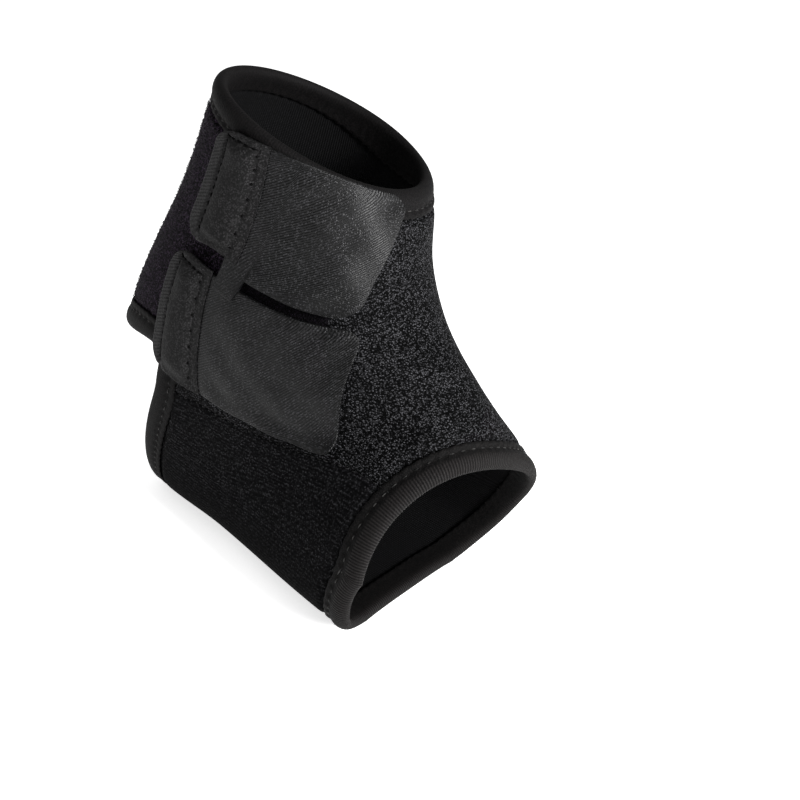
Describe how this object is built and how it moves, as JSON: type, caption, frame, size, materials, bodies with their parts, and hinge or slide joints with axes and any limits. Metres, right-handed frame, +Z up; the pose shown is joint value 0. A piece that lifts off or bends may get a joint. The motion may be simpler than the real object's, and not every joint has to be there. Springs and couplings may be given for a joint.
{
  "type": "ankle brace",
  "caption": "Pull-on neoprene ankle brace with an open heel and toe end, bound edges, and hook-and-loop straps fastened over the outer ankle.",
  "frame": {"origin": "on the floor plane under the sole, below the ankle", "axes": "+X towards the toes, +Y towards the inner side of the right foot, +Z up"},
  "size_m": [0.1531, 0.0858, 0.1542],
  "materials": {
    "knit_face": "black knit face on neoprene foam, matt with a fine grain",
    "stirrup_face": "black knit face on neoprene foam, finely ribbed, matt",
    "binding_tape": "black woven binding tape, matt",
    "strap_webbing": "dark grey-black fine twill, faint sheen",
    "hook_tab": "dark grey-black padded cloth, stitched"
  },
  "bodies": {
    "root": {"upper_wrap": "knit_face", "stirrup": "stirrup_face", "top_binding": "binding_tape", "front_binding": "binding_tape", "heel_binding": "binding_tape", "upper_strap": "strap_webbing", "upper_tab": "hook_tab", "lower_strap": "strap_webbing", "lower_tab": "hook_tab"}
  },
  "joints": []
}
